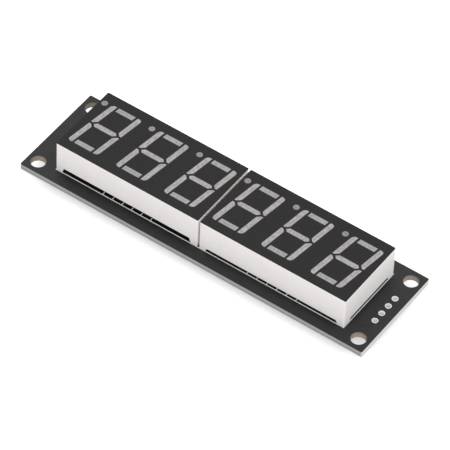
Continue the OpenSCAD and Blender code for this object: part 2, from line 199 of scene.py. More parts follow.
class UndersideLook(PropertyGroup):
    """Driver chip and small parts"""
    chip: colour("Chip", "Colour of the chip's moulded body", (0.034, 0.034, 0.036))
    ceramic: colour("Ceramic", "Colour of the capacitors' middles", (0.36, 0.235, 0.13))
    resistor: colour("Resistor", "Colour of the resistors' tops", (0.018, 0.018, 0.02))
    alumina: colour("Alumina", "Colour of the resistors' sides", (0.62, 0.61, 0.58))
    chip_round: length("Chip round", "Radius of the chip's edges", 0.07 * MM)
    part_round: length("Part round", "Radius of the small parts' edges", 0.09 * MM)


class StageLook(PropertyGroup):
    """Floor, light and camera"""
    floor: colour("Floor", "Colour of the floor", (0.86, 0.86, 0.86))
    sky: share("Sky", "Strength of the light from all round", 0.90, 2)
    lift: share("Floor lift", "Brightness that the floor adds where it shows", 0.50)
    key: FloatProperty(name="Key light", description="Power of the large lamp",
                       default=0.80, min=0, unit="POWER")
    fill: FloatProperty(name="Fill light", description="Power of the lamp opposite",
                        default=0.30, min=0, unit="POWER")
    azimuth: turn("Azimuth", "Camera's turn about the module", 213.251)
    elevation: turn("Elevation", "Camera's height angle", 47.996)
    roll: turn("Roll", "Camera's turn about its own line of sight", 2.755)
    distance: length("Distance", "Camera's distance from its target", 0.977784, high=10)
    focal: FloatProperty(name="Focal length", description="Camera's focal length",
                         default=365.21, min=1, unit="CAMERA")
    target: FloatVectorProperty(name="Target", description="Point that the camera looks at", size=3,
                                default=(-2.757 * MM, 3.280 * MM, 5.0 * MM),
                                unit="LENGTH", subtype="TRANSLATION")


# Materials

def rgba(c, by=1.0):
    return (*[min(1.0, v * by) for v in c], 1.0)


class Finish:
    """A node material in the making. Most calls add a node and give back its output."""

    def __init__(self, name, metallic=0.0, gloss=0.5, coat=0.0):
        self.material = bpy.data.materials.new(name)
        self.material.use_nodes = True
        self.tree = self.material.node_tree
        self.shader = self.tree.nodes["Principled BSDF"]
        self.place = self.node("ShaderNodeTexCoord").outputs["Object"]
        self.x, self.y, self.z = self.node("ShaderNodeSeparateXYZ", {"Vector": self.place}).outputs
        self.normal = None
        self.shader.inputs["Metallic"].default_value = metallic
        self.shader.inputs["Specular IOR Level"].default_value = gloss
        if coat:
            self.shader.inputs["Coat Weight"].default_value = coat
            self.shader.inputs["Coat Roughness"].default_value = 0.2

    def feed(self, socket, value):
        if isinstance(value, bpy.types.NodeSocket):
            self.tree.links.new(value, socket)
        else:
            socket.default_value = value

    def node(self, kind, inputs=None, **settings):
        made = self.tree.nodes.new(kind)
        for key, value in settings.items():
            setattr(made, key, value)
        for socket, value in (inputs or {}).items():
            self.feed(made.inputs[socket], value)
        return made

    def math(self, operation, *values, clamp=False):
        made = self.node("ShaderNodeMath", dict(enumerate(values)), operation=operation, use_clamp=clamp)
        return made.outputs[0]

    def vector(self, operation, *values):
        made = self.node("ShaderNodeVectorMath", dict(enumerate(values)), operation=operation)
        return made.outputs[0]

    def away(self, value, middle):
        """Distance of a coordinate from a middle."""
        return self.math("ABSOLUTE", self.math("SUBTRACT", value, middle))

    def rise(self, value, low, high):
        """0 at low and 1 at high, smooth between them."""
        made = self.node("ShaderNodeMapRange", {"Value": value, "From Min": low, "From Max": high},
                         interpolation_type="SMOOTHSTEP")
        return made.outputs["Result"]

    def level(self, value, low, high):
        """A share turned into a number from low to high."""
        made = self.node("ShaderNodeMapRange", {"Value": value, "To Min": low, "To Max": high})
        return made.outputs["Result"]

    def tint(self, amount, below, above):
        made = self.node("ShaderNodeMix", {0: amount, 6: below, 7: above}, data_type="RGBA")
        return made.outputs[2]

    def over(self, base, colour, amount, most):
        """Covers base with a colour by an amount times most."""
        return self.tint(self.math("MULTIPLY", amount, most), base, colour)

    def dim(self, base, amount):
        """A colour times a number."""
        grey = self.node("ShaderNodeCombineXYZ", {0: amount, 1: amount, 2: amount}).outputs[0]
        made = self.node("ShaderNodeMix", {0: 1.0, 6: base, 7: grey}, data_type="RGBA", blend_type="MULTIPLY")
        return made.outputs[2]

    def moved(self, shift=(0, 0, 0), stretch=(1, 1, 1)):
        made = self.node("ShaderNodeMapping", {"Vector": self.place, "Location": shift, "Scale": stretch})
        return made.outputs["Vector"]

    def grain(self, size, detail=2.0, rough=0.5, shift=(0, 0, 0), stretch=(1, 1, 1)):
        where = self.moved(shift, stretch)
        made = self.node("ShaderNodeTexNoise",
                         {"Vector": where, "Scale": 1 / size, "Detail": detail, "Roughness": rough})
        return made.outputs["Fac"]

    def cells(self, size, shift=(0, 0, 0)):
        made = self.node("ShaderNodeTexVoronoi", {"Vector": self.moved(shift), "Scale": 1 / size})
        return made.outputs["Distance"]

    def threads(self, value, pitch):
        """A round rise and fall along a coordinate, once in each pitch."""
        return self.math("SINE", self.math("MULTIPLY", value, 2 * math.pi / pitch))

    def specks(self, size, cut, shift=(0, 0, 0)):
        """Sparse spots: 1 in a spot and 0 round it."""
        return self.rise(self.grain(size, 1.0, 0.5, shift), cut, cut + 0.03)

    def edges(self, node, width):
        """1 along the box edges of a CAD node and 0 away from them."""
        middle, half = span(node)
        away = self.vector("SUBTRACT", self.place, tuple(middle))
        near = self.vector("SUBTRACT", tuple(half), self.vector("ABSOLUTE", away))
        x, y, z = self.node("ShaderNodeSeparateXYZ", {"Vector": near}).outputs
        low, high = self.math("MINIMUM", x, y), self.math("MAXIMUM", x, y)
        second = self.math("MAXIMUM", low, self.math("MINIMUM", high, z))
        return self.rise(second, width, 0.2 * width)

    def inset(self, middle, half):
        """Distance inside the outline of a box, seen from above."""
        inner_x = self.math("SUBTRACT", half.x, self.away(self.x, middle.x))
        inner_y = self.math("SUBTRACT", half.y, self.away(self.y, middle.y))
        return self.math("MINIMUM", inner_x, inner_y)

    def relief(self, height, depth, strength=1.0):
        inputs = {"Height": height, "Distance": depth, "Strength": strength}
        if self.normal is not None:
            inputs["Normal"] = self.normal
        self.normal = self.node("ShaderNodeBump", inputs).outputs["Normal"]

    def done(self, base, roughness):
        self.feed(self.shader.inputs["Base Color"], base)
        self.feed(self.shader.inputs["Roughness"], roughness)
        if self.normal is not None:
            self.feed(self.shader.inputs["Normal"], self.normal)
        return self.material


CUT_ROUGHNESS = 0.78


def solder_mask(look, name="board_mask_finish", ridge=1.0):
    """Black mask over a glass weave, with cut laminate edges and drilled walls."""
    f = Finish(name, gloss=0.32)
    mottle = f.grain(2.6 * MM, 3)
    fine = f.grain(0.12 * MM, 3, 0.6)
    weave = f.math("MULTIPLY", f.threads(f.x, look.weave), f.threads(f.y, look.weave))
    mask = f.tint(mottle, rgba(look.mask, 0.78 * ridge), rgba(look.mask, 1.22 * ridge))
    mask = f.over(mask, rgba((0.16, 0.155, 0.15)), f.specks(0.16 * MM, 0.735), 0.55)
    # Painted shade: the mask under the displays is darkened to a quarter of its colour
    painted_shade_under_displays = f.rise(f.inset(Vector(), DISPLAYS_HALF), -0.05 * MM, 0.35 * MM)
    painted_shade_under_displays = f.math("MULTIPLY", painted_shade_under_displays, f.rise(f.z, BOARD_TOP - 0.1 * MM, BOARD_TOP - 0.02 * MM))
    mask = f.tint(painted_shade_under_displays, mask, rgba(look.mask, 0.25))
    flux = f.math("MULTIPLY",
                  f.rise(f.away(f.math("ABSOLUTE", f.y), PIN_ROW_Y), 2.0 * MM, 1.0 * MM),
                  f.rise(f.z, 0.4 * MM, 0.1 * MM))
    flux = f.math("MULTIPLY", flux, f.rise(f.grain(1.5 * MM, 3, 0.6), 0.42, 0.6))

    layers = f.grain(0.16 * MM, 3, 0.6, stretch=(0.10, 0.10, 1.0))
    strands = f.grain(0.07 * MM, 2, 0.5, stretch=(0.5, 0.5, 1.0))
    cut = f.tint(layers, rgba(look.laminate, 0.80), rgba(look.laminate, 1.15))
    cut = f.over(cut, rgba(look.laminate, 0.62), f.rise(strands, 0.45, 0.7), 0.5)
    long_edge = f.rise(f.away(f.y, 0), BOARD_HALF.y - 0.30 * MM, BOARD_HALF.y - 0.10 * MM)
    long_edge = f.math("MULTIPLY", long_edge,
                       f.rise(f.away(f.x, 0), BOARD_HALF.x - 0.05 * MM, BOARD_HALF.x - 0.25 * MM))
    # The long edges are dimmed as painted shade, darker in the lower half than the upper, and carry a painted
    # highlight along the lower arris
    long_edge_shade = f.level(f.rise(f.z, 0.72 * MM, 0.90 * MM), 0.39, 0.53)
    arris_highlight = f.rise(f.z, 0.30 * MM, 0.10 * MM)
    long_edge_shade = f.math("ADD", long_edge_shade, f.math("MULTIPLY", arris_highlight, 1.05))
    cut = f.tint(long_edge, cut, f.dim(cut, long_edge_shade))
    inner = f.math("MULTIPLY",
                   f.rise(f.away(f.x, 0), BOARD_HALF.x - 0.3 * MM, BOARD_HALF.x - 0.5 * MM),
                   f.rise(f.away(f.y, 0), BOARD_HALF.y - 0.3 * MM, BOARD_HALF.y - 0.5 * MM))
    wall = f.tint(f.rise(f.z, 0.6 * MM, 1.5 * MM), rgba(look.drilled, 1.25), rgba(look.drilled, 0.75))
    chips = f.rise(f.grain(0.11 * MM, 3, stretch=(1, 1, 0.35)), 0.35, 0.7)
    wall = f.tint(chips, wall, rgba(look.drilled, 0.6))
    cut = f.tint(inner, cut, wall)

    wobble = f.level(f.grain(0.3 * MM, 3), -0.03 * MM, 0.03 * MM)
    height = f.math("ADD", f.away(f.z, BOARD_TOP / 2), wobble)
    flat = f.rise(height, BOARD_TOP / 2 - 0.05 * MM, BOARD_TOP / 2 - 0.03 * MM)
    f.relief(weave, 0.0035 * MM, 0.35)
    f.relief(f.grain(0.55 * MM, 3), 0.012 * MM, 0.35)
    f.relief(fine, 0.004 * MM, 0.35)
    shine = f.math("SUBTRACT", f.level(f.grain(1.1 * MM, 4), 0.40, 0.56), f.math("MULTIPLY", flux, 0.2))
    matt = f.math("MULTIPLY", f.math("SUBTRACT", 1.0, flat), CUT_ROUGHNESS)
    rough = f.math("ADD", f.math("MULTIPLY", flat, shine), matt)
    return f.done(f.tint(flat, cut, mask), rough)


def print_ink(look, name="white_print_finish"):
    """White ink, thin in places."""
    f = Finish(name, gloss=0.3)
    thin = f.rise(f.grain(0.14 * MM, 3, 0.6), 0.50, 0.74)
    ink = f.tint(f.grain(0.9 * MM, 2), rgba(look.ink, 0.88), rgba(look.ink, 1.1))
    ink = f.over(ink, rgba((0.2, 0.2, 0.2)), thin, 0.7)
    f.relief(f.grain(0.06 * MM, 2), 0.006 * MM, 0.6)
    return f.done(ink, f.level(f.grain(0.2 * MM, 2), 0.55, 0.75))


def tin_plate(look):
    """Tin from hot levelling: smooth domes with pits; inside the holes a duller tin painted paler as a
    highlight.
    """
    f = Finish("tinned_copper_finish", metallic=1.0)
    swirl = f.grain(0.45 * MM, 3, 0.55)
    inside = f.math("MULTIPLY",
                    f.rise(f.z, 0.02 * MM, 0.1 * MM),
                    f.rise(f.z, BOARD_TOP, BOARD_TOP - 0.1 * MM))
    tin = f.tint(swirl, rgba(look.tin, 0.86), rgba(look.tin, 1.16))
    tin = f.over(tin, rgba(look.tin, 0.5), f.specks(0.09 * MM, 0.66, (3, 1, 0)), 0.5)
    # Painted highlight: the tin inside the holes is a paler, less metallic copy of the tin
    dull = f.tint(f.rise(f.grain(0.16 * MM, 2), 0.4, 0.62), rgba(look.barrel_highlight, 0.88), rgba(look.barrel_highlight, 1.1))
    f.feed(f.shader.inputs["Metallic"], f.level(inside, 1.0, 0.15))
    f.relief(f.grain(0.30 * MM, 2), 0.02 * MM, 0.5)
    f.relief(f.grain(0.07 * MM, 2), 0.004 * MM, 0.5)
    return f.done(f.tint(inside, tin, dull), f.level(f.grain(0.2 * MM, 3), 0.26, 0.46))


def moulded_housing(look, side):
    """White moulded plastic: spark eroded skin, faint flow marks, painted highlights on the edges, the top
    and the foot, and painted shade inside.
    """
    node = f"{side}_housing"
    middle, half = span(node)
    f = Finish(f"housing_white_{side}", gloss=0.45)
    cloud = f.grain(5.5 * MM, 3)
    mottle = f.grain(0.55 * MM, 4, 0.6)
    flow = f.grain(0.7 * MM, 2, 0.5, stretch=(0.12, 0.12, 1.0))
    skin = f.grain(0.085 * MM, 3, 0.6)
    base = f.tint(cloud, rgba(look.housing, 0.955), rgba(look.housing, 1.035))
    base = f.over(base, rgba(look.housing, 0.90), f.rise(mottle, 0.42, 0.68), 0.22)
    base = f.over(base, rgba(look.housing, 1.12), f.rise(flow, 0.5, 0.72), 0.16)
    # Painted highlight: the housing's edges are paler
    edge_highlight = f.math("MULTIPLY", f.edges(node, 0.30 * MM), f.level(f.grain(0.8 * MM, 3), 0.45, 1.0))
    base = f.tint(edge_highlight, base, rgba((0.93, 0.91, 0.895)))
    # Painted highlight: the walls are paler near the top
    top_highlight = f.rise(f.z, middle.z + half.z - 0.32 * MM, middle.z + half.z - 0.06 * MM)
    base = f.over(base, rgba((0.94, 0.915, 0.90)), top_highlight, 0.75)
    # Painted shade: inside the housing, below its top, the plastic takes the dark inner shade colour
    inside = f.math("MULTIPLY", f.rise(f.inset(middle, half), 0.10 * MM, 0.30 * MM),
                    f.rise(f.z, middle.z + half.z - 0.4 * MM, middle.z + half.z - 0.8 * MM))
    # Painted highlight: the walls are paler towards the bottom
    foot_highlight = f.math("MULTIPLY", f.rise(f.z, middle.z + 0.5 * MM, middle.z - half.z + 1.0 * MM), 0.6)
    base = f.tint(foot_highlight, base, (0.97, 0.945, 0.93, 1))
    base = f.over(base, rgba((0.35, 0.32, 0.30)), f.specks(0.14 * MM, 0.74, (1, 2, 3)), 0.4)
    base = f.tint(inside, base, f.tint(mottle, rgba(look.inner_shade, 0.85), rgba(look.inner_shade, 1.15)))
    f.relief(cloud, 0.05 * MM, 0.25)
    f.relief(flow, 0.006 * MM, 0.3)
    f.relief(skin, 0.006 * MM, 0.45)
    return f.done(base, f.level(mottle, 0.38, 0.56))


def black_face(look, side):
    """A printed black layer that leaves the lower part of its sides bare."""
    middle, half = span(f"{side}_face")
    f = Finish(f"face_black_{side}", gloss=0.25)
    cloud = f.grain(4 * MM, 3, shift=(7, 0, 0))
    fine = f.grain(0.10 * MM, 3, 0.6)
    base = f.tint(cloud, rgba(look.face, 0.86), rgba(look.face, 1.16))
    base = f.over(base, rgba((0.040, 0.034, 0.031)), f.rise(f.grain(0.28 * MM, 3), 0.52, 0.75), 0.3)
    base = f.over(base, rgba((0.30, 0.29, 0.28)), f.specks(0.13 * MM, 0.76, (0, 5, 0)), 0.35)
    top = middle.z + half.z
    inset = f.inset(middle, half)
    inner = f.rise(inset, 0.02 * MM, 0.05 * MM)
    side_edge = top - 0.1 * MM + look.bare_rim
    black = f.math("MAXIMUM", inner, f.rise(f.z, side_edge, side_edge + 0.02 * MM))
    worn = f.math("MULTIPLY", f.rise(inset, 0.35 * MM, 0.02 * MM), f.rise(f.grain(0.35 * MM, 4), 0.5, 0.66))
    base = f.over(base, rgba((0.075, 0.066, 0.060)), worn, 0.35)
    f.relief(f.grain(0.35 * MM, 3), 0.010 * MM, 0.25)
    f.relief(fine, 0.005 * MM, 0.5)
    shine = f.level(f.grain(0.8 * MM, 4), 0.46, 0.62)
    return f.done(f.tint(black, rgba(look.housing, 1.05), base), shine)


def poured_resin(look):
    """Milky resin: paler where it is thin at the rim, with faint streaks in its depth."""
    f = Finish("segment_resin_finish", gloss=0.5, coat=0.25)
    depth = f.node("ShaderNodeAttribute", attribute_name="pour", attribute_type="GEOMETRY").outputs["Fac"]
    tone = f.node("ShaderNodeAttribute", attribute_name="tone", attribute_type="GEOMETRY").outputs["Fac"]
    streak = f.grain(0.45 * MM, 4, 0.6, stretch=(1.0, 0.45, 1.0))
    cloud = f.grain(0.22 * MM, 3, 0.6, shift=(2, 2, 0))
    core = f.tint(f.rise(tone, 0.5, 1.0), rgba(look.resin_bar), rgba(look.resin))
    core = f.tint(f.rise(tone, 0.5, 0.0), core, rgba(look.resin_dot))
    core = f.over(core, rgba(look.resin, 1.62), f.rise(streak, 0.38, 0.64), f.level(tone, 0.25, 0.9))
    core = f.over(core, rgba(look.resin, 0.72), f.rise(cloud, 0.48, 0.72), 0.6)
    near = f.rise(depth, 0.9, 0.15)
    base = f.over(core, rgba(look.resin_rim), near, f.level(streak, 0.25, 0.9))
    base = f.over(base, rgba((0.25, 0.24, 0.24)), f.specks(0.10 * MM, 0.73, (4, 0, 2)), 0.4)
    base = f.tint(f.rise(depth, look.overprint + 0.03, look.overprint - 0.03), base, rgba(look.face))
    f.relief(f.grain(0.7 * MM, 3), 0.02 * MM, 0.25)
    f.relief(f.grain(0.12 * MM, 2), 0.003 * MM, 0.4)
    return f.done(base, f.level(cloud, 0.24, 0.40))


def bare_laminate(look):
    """Glass fibre board without a mask, with its weave."""
    f = Finish("lamp_board_finish", gloss=0.4)
    weave = f.math("MULTIPLY", f.threads(f.x, look.weave), f.threads(f.y, look.weave))
    cloud = f.grain(1.5 * MM, 3)
    base = f.tint(cloud, (0.52, 0.47, 0.30, 1), (0.66, 0.62, 0.44, 1))
    base = f.tint(f.rise(weave, -0.2, 0.6), base, (0.60, 0.55, 0.37, 1))
    f.relief(weave, 0.006 * MM, 0.6)
    return f.done(base, f.level(cloud, 0.42, 0.6))


def lamp_crystal():
    """Amber crystal with small facets."""
    f = Finish("lamp_chip_finish", gloss=0.6)
    facet = f.cells(0.08 * MM)
    base = f.tint(facet, (0.50, 0.30, 0.10, 1), (0.75, 0.55, 0.28, 1))
    f.relief(facet, 0.004 * MM, 0.5)
    return f.done(base, f.level(facet, 0.2, 0.4))


def drawn_metal(look, name, along_z):
    """Tinned wire or strip, with draw marks along it and dull patches."""
    f = Finish(name, metallic=1.0)
    stretch = (1, 1, 0.12) if along_z else (1, 0.15, 0.6)
    draw = f.grain(0.06 * MM, 3, 0.6, stretch=stretch)
    patch = f.grain(0.5 * MM, 3)
    base = f.tint(draw, rgba(look.pin, 0.80), rgba(look.pin, 1.2))
    base = f.over(base, rgba(look.pin, 0.62), f.rise(patch, 0.5, 0.7), 0.4)
    f.relief(draw, 0.005 * MM, 0.6)
    return f.done(base, f.level(patch, 0.26, 0.48))


def frozen_solder(look):
    """Solder with a bright skin, fine frost and darker hollows."""
    f = Finish("solder_finish", metallic=1.0)
    frost = f.cells(0.16 * MM)
    cloud = f.grain(0.5 * MM, 3)
    base = f.tint(cloud, rgba(look.solder, 0.78), rgba(look.solder, 1.18))
    base = f.over(base, rgba(look.solder, 0.66), f.rise(frost, 0.25, 0.6), 0.35)
    f.relief(frost, 0.010 * MM, 0.35)
    f.relief(f.grain(0.3 * MM, 2), 0.03 * MM, 0.3)
    return f.done(base, f.level(frost, 0.16, 0.42))


def chip_epoxy(look):
    """Moulded epoxy: matt sand texture and a painted highlight along its edges."""
    f = Finish("chip_black_finish", gloss=0.32)
    sand = f.grain(0.045 * MM, 3, 0.7)
    cloud = f.grain(1.6 * MM, 3)
    base = f.tint(cloud, rgba(look.chip, 0.82), rgba(look.chip, 1.25))
    base = f.over(base, (0.075, 0.074, 0.072, 1), f.rise(sand, 0.56, 0.72), 0.5)
    # Painted highlight: the chip's edges are paler
    edge_highlight = f.math("MULTIPLY", f.edges("driver_chip", 0.3 * MM), f.level(f.grain(0.5 * MM, 4), 0.1, 0.8))
    base = f.tint(edge_highlight, base, (0.085, 0.083, 0.080, 1))
    f.relief(sand, 0.012 * MM, 0.8)
    return f.done(base, f.level(cloud, 0.58, 0.74))


def capped_part(node, along, metal, body, top=None):
    """A small part with tinned ends; top is the colour of a resistor's printed face."""
    middle, half = span(node)
    f = Finish(f"{node}_finish", gloss=0.5)
    along_part = f.away((f.x, f.y)[along], middle[along])
    wobble = f.level(f.grain(0.25 * MM, 3), -0.04 * MM, 0.04 * MM)
    cap = f.rise(f.math("ADD", along_part, wobble), half[along] - 0.43 * MM, half[along] - 0.40 * MM)
    cloud = f.grain(0.3 * MM, 4, 0.6)
    fine = f.grain(0.05 * MM, 2)
    base = f.tint(cloud, rgba(body, 0.82), rgba(body, 1.18))
    base = f.over(base, rgba(body, 0.6), f.rise(fine, 0.55, 0.75), 0.3)
    if top:
        across = f.away((f.y, f.x)[along], middle[1 - along])
        low = middle.z - half.z
        face = f.math("MULTIPLY", f.rise(f.z, low + 0.12 * MM, low + 0.07 * MM),
                      f.rise(across, half[1 - along] - 0.08 * MM, half[1 - along] - 0.14 * MM))
        base = f.tint(face, base, f.tint(cloud, rgba(top, 0.8), rgba(top, 1.3)))
    # Painted highlight: the part's edges are paler
    edge_highlight = f.math("MULTIPLY", f.edges(node, 0.16 * MM), 0.35)
    base = f.tint(edge_highlight, base, rgba(body, 1.35))
    ends = f.tint(cloud, rgba(metal, 0.8), rgba(metal, 1.15))
    f.relief(cloud, 0.012 * MM, 0.5)
    f.relief(fine, 0.004 * MM, 0.5)
    f.feed(f.shader.inputs["Metallic"], cap)
    return f.done(f.tint(cap, base, ends), f.level(cloud, 0.34, 0.52))


# Shapes

def dress(target, material):
    """Puts a material on every slot of an object or a CAD node."""
    piece = frame["nodes"][target] if isinstance(target, str) else target
    for place in piece.material_slots:
        place.material = material
    return piece


def soften(node, radius, segments=2, angle=30):
    """Rounds the hard edges of a CAD node with modifiers that leave its mesh as it is."""
    piece = frame["nodes"][node]
    weld = piece.modifiers.new("Weld", "WELD")
    weld.merge_threshold = 1e-6
    bevel = piece.modifiers.new("Edge round", "BEVEL")
    bevel.width = radius
    bevel.segments = segments
    bevel.limit_method = "ANGLE"
    bevel.angle_limit = math.radians(angle)
    bevel.use_clamp_overlap = True
    bevel.miter_outer = "MITER_ARC"
    normals = piece.modifiers.new("Even normals", "WEIGHTED_NORMAL")
    normals.keep_sharp = False
    normals.weight = 80
    return piece


def keep(bm, name, material, smooth_angle=35):
    """Turns a bmesh into a finished piece that rides on the module."""
    mesh = bpy.data.meshes.new(name)
    bm.to_mesh(mesh)
    bm.free()
    if "custom_normal" in mesh.attributes:
        mesh.attributes.remove(mesh.attributes["custom_normal"])
    mesh.shade_smooth()
    mesh.set_sharp_from_angle(angle=math.radians(smooth_angle))
    mesh.materials.clear()
    mesh.materials.append(material)
    piece = bpy.data.objects.new(name, mesh)
    bpy.context.scene.collection.objects.link(piece)
    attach(piece, "root")
    return piece


# Each step inwards from a window's edge: its share of the sink's width and of the sink's depth
SINK_STEPS = ((0.28, 0.55), (0.33, 0.30), (0.39, 0.15))
LARGEST_DOT = 2 * MM
# A middle bar lies closer than this to the display's middle and looks like an upright
MIDDLE_BAR_REACH = 2 * MM


def poured_segments(side, look, material):
    """The casting with its open surface sunk a little inside each window."""
    bm = bmesh.new()
    bm.from_mesh(frame["nodes"][f"{side}_casting"].data)
    bmesh.ops.remove_doubles(bm, verts=bm.verts, dist=1e-7)
    top = max(v.co.z for v in bm.verts) - 1e-6
    rim = [v for v in bm.verts if v.co.z > top]
    lid = [e for e in bm.edges if all(v.co.z > top for v in e.verts) and len(e.link_faces) == 2
           and all(g.normal.z > 0.99 for g in e.link_faces)]
    bmesh.ops.dissolve_limit(bm, angle_limit=math.radians(1), verts=rim, edges=lid)
    windows = [g for g in bm.faces if g.normal.z > 0.99 and g.calc_center_median().z > top]
    if len(windows) != DISPLAY_WINDOWS:
        raise RuntimeError(f"the {side} casting shows {len(windows)} windows, not {DISPLAY_WINDOWS}")
    pour = bm.verts.layers.float.new("pour")
    tone = bm.verts.layers.float.new("tone")
    tones = {}
    for window in windows:
        xs, ys = [v.co.x for v in window.verts], [v.co.y for v in window.verts]
        wide, tall = max(xs) - min(xs), max(ys) - min(ys)
        level_bar = wide > 1.5 * tall and abs(sum(ys) / len(ys)) > MIDDLE_BAR_REACH
        dot = wide < LARGEST_DOT and tall < LARGEST_DOT
        tones[window] = 0.5 if level_bar else 0.0 if dot else 1.0
    done = 0.0
    for width, drop in SINK_STEPS:
        bmesh.ops.inset_individual(bm, faces=windows, thickness=width * look.sink_width,
                                   depth=-drop * look.sink, use_even_offset=True)
        done += width
        for window in windows:
            for v in window.verts:
                v[pour] = done
    for window, value in tones.items():
        reach = set(window.verts)
        for _ in SINK_STEPS:
            reach |= {e.other_vert(v) for v in reach for e in v.link_edges}
        for v in reach:
            v[tone] = value
    piece = keep(bm, f"{side}_segments", material)
    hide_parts(f"{side}_casting")


def ridge(points, width, height):
    """A low rounded ridge along points on the underside, as a mesh: a track under the mask."""
    curve = bpy.data.curves.new("route", "CURVE")
    curve.dimensions = "3D"
    curve.bevel_depth = width / 2
    curve.bevel_resolution = 1
    curve.use_fill_caps = True
    line = curve.splines.new("POLY")
    line.points.add(len(points) - 1)
    for point, (x, y) in zip(line.points, points):
        point.co = (x, y, 0, 1)
    route = bpy.data.objects.new("route", curve)
    bpy.context.scene.collection.objects.link(route)
    bpy.context.view_layer.update()
    mesh = bpy.data.meshes.new_from_object(route.evaluated_get(bpy.context.evaluated_depsgraph_get()))
    bpy.data.objects.remove(route)
    bpy.data.curves.remove(curve)
    mesh.transform(Matrix.Diagonal((1, 1, 2 * height / width, 1)))
    return mesh


def closed_ring(bm, sections):
    """Joins sections of points into a ring that closes on itself, in the same order each run."""
    rows = [[bm.verts.new(point) for point in section] for section in sections]
    for row, following in zip(rows, rows[1:] + rows[:1]):
        for i in range(len(row)):
            j = (i + 1) % len(row)
            bm.faces.new((row[i], following[i], following[j], row[j]))


def printed_frame(bm, middle, half_x, half_y):
    """A printed rectangle on the underside."""
    sections = []
    for sx, sy in ((1, 1), (-1, 1), (-1, -1), (1, -1)):
        outer = (middle.x + sx * half_x, middle.y + sy * half_y)
        inner = (outer[0] - sx * PRINT_LINE, outer[1] - sy * PRINT_LINE)
        sections.append([(*outer, 0), (*outer, -PRINT_HEIGHT), (*inner, -PRINT_HEIGHT), (*inner, 0)])
    closed_ring(bm, sections)


def printed_dot(bm, x, y, radius):
    """A printed round mark on the underside."""
    bmesh.ops.create_cone(bm, cap_ends=True, segments=24, radius1=radius, radius2=radius,
                          depth=PRINT_HEIGHT, matrix=Matrix.Translation((x, y, -PRINT_HEIGHT / 2)))


def via_ring(bm, x, y, radius, height):
    """A via under the mask: a round ring with a small pit."""
    sections = []
    for step in range(VIA_SIDES):
        angle = 2 * math.pi * step / VIA_SIDES
        out_x, out_y = radius * math.cos(angle), radius * math.sin(angle)
        sections.append([(x + reach * out_x, y + reach * out_y, -rise * height)
                         for reach, rise in VIA_PROFILE])
    closed_ring(bm, sections)


def lead_routes():
    """Tracks from the chip's leads to the display pins, in lanes inside and outside the pin rows."""
    lines = []
    for sx in (-1, 1):
        display = span("right_pins" if sx > 0 else "left_pins")[0].x
        for sy in (-1, 1):
            for k in range(LEADS_PER_QUARTER):
                lead_x = sx * (LEADS_PER_QUARTER - 0.5 - k) * LEAD_PITCH
                pin_x = display + sx * (k - 2.5) * PIN_PITCH
                lane = sy * (OUTER_LANE_Y + LANE_STEP * k if k else INNER_LANE_Y)
                slope = abs(lane - sy * PIN_ROW_Y)
                lines.append([(lead_x, sy * LEAD_TIP_Y), (lead_x, lane - sy * LANE_TURN),
                              (lead_x + sx * LANE_TURN, lane), (pin_x - sx * slope, lane),
                              (pin_x, sy * PIN_ROW_Y)])
    return lines


def header_routes():
    """Tracks from the header holes over the small parts towards the chip, and the places of the vias."""
    lines, vias = [], []
    parts = [span(n)[0] for n in ("data_capacitor", "data_resistor", "clock_resistor", "clock_capacitor")]
    part_end = 1.3 * MM
    for part, hole in zip(sorted(parts, key=lambda p: p.y), HEADER_HOLES):
        lines.append([(HEADER_X, span(hole)[0].y), (part.x - part_end, part.y)])
    supply = span("supply_capacitor")[0].x
    start = parts[0].x + part_end
    inner_y, outer_y, between_pads = PIN_PITCH / 2, 1.5 * PIN_PITCH, 0.67 * MM
    for sy in (-1, 1):
        inner_via, outer_via = (-9.8 * MM, sy * 1.9 * MM), (-12.0 * MM, sy * 3.0 * MM)
        near_via, far_via = (9.0 * MM, sy * 2.2 * MM), (26.0 * MM, sy * 4.2 * MM)
        vias += [inner_via, outer_via, near_via, far_via]
        lines.append([(start, sy * inner_y), (supply - 1.8 * MM, sy * inner_y),
                      (supply - 1.2 * MM, sy * between_pads), (-11.0 * MM, sy * between_pads), inner_via])
        lines.append([(start, sy * outer_y), (supply + 2.2 * MM, sy * outer_y),
                      (supply + 3.0 * MM, outer_via[1]), outer_via])
        lines.append([near_via, (24.0 * MM, near_via[1]), far_via])
    return lines, vias


# Operators

def looks(context):
    return context.scene.display_module


class DISPLAY_OT_board(Operator):
    """Finishes the circuit board and its printed outline"""
    bl_idname = "display_module.board"
    bl_label = "Circuit board"

    def execute(self, context):
        look = looks(context).board
        dress("main_board", solder_mask(look))
        dress("outline_print", print_ink(look))
        return {"FINISHED"}


class DISPLAY_OT_plating(Operator):
    """Finishes the header holes, the pin holes and the pads"""
    bl_idname = "display_module.plating"
    bl_label = "Plated holes and pads"

    def execute(self, context):
        look = looks(context).metal
        tin = tin_plate(look)
        for node in HEADER_HOLES + ["left_pin_holes", "right_pin_holes"]:
            dress(node, tin)
            soften(node, look.ring_round, angle=50)
        dress("surface_pads", tin)
        return {"FINISHED"}


class DISPLAY_OT_housings(Operator):
    """Finishes the two moulded housings"""
    bl_idname = "display_module.housings"
    bl_label = "Housings"

    def execute(self, context):
        look = looks(context).display
        for side in SIDES:
            dress(f"{side}_housing", moulded_housing(look, side))
        return {"FINISHED"}


class DISPLAY_OT_faces(Operator):
    """Finishes the two black faces"""
    bl_idname = "display_module.faces"
    bl_label = "Faces"

    def execute(self, context):
        look = looks(context).display
        for side in SIDES:
            dress(f"{side}_face", black_face(look, side))
        return {"FINISHED"}


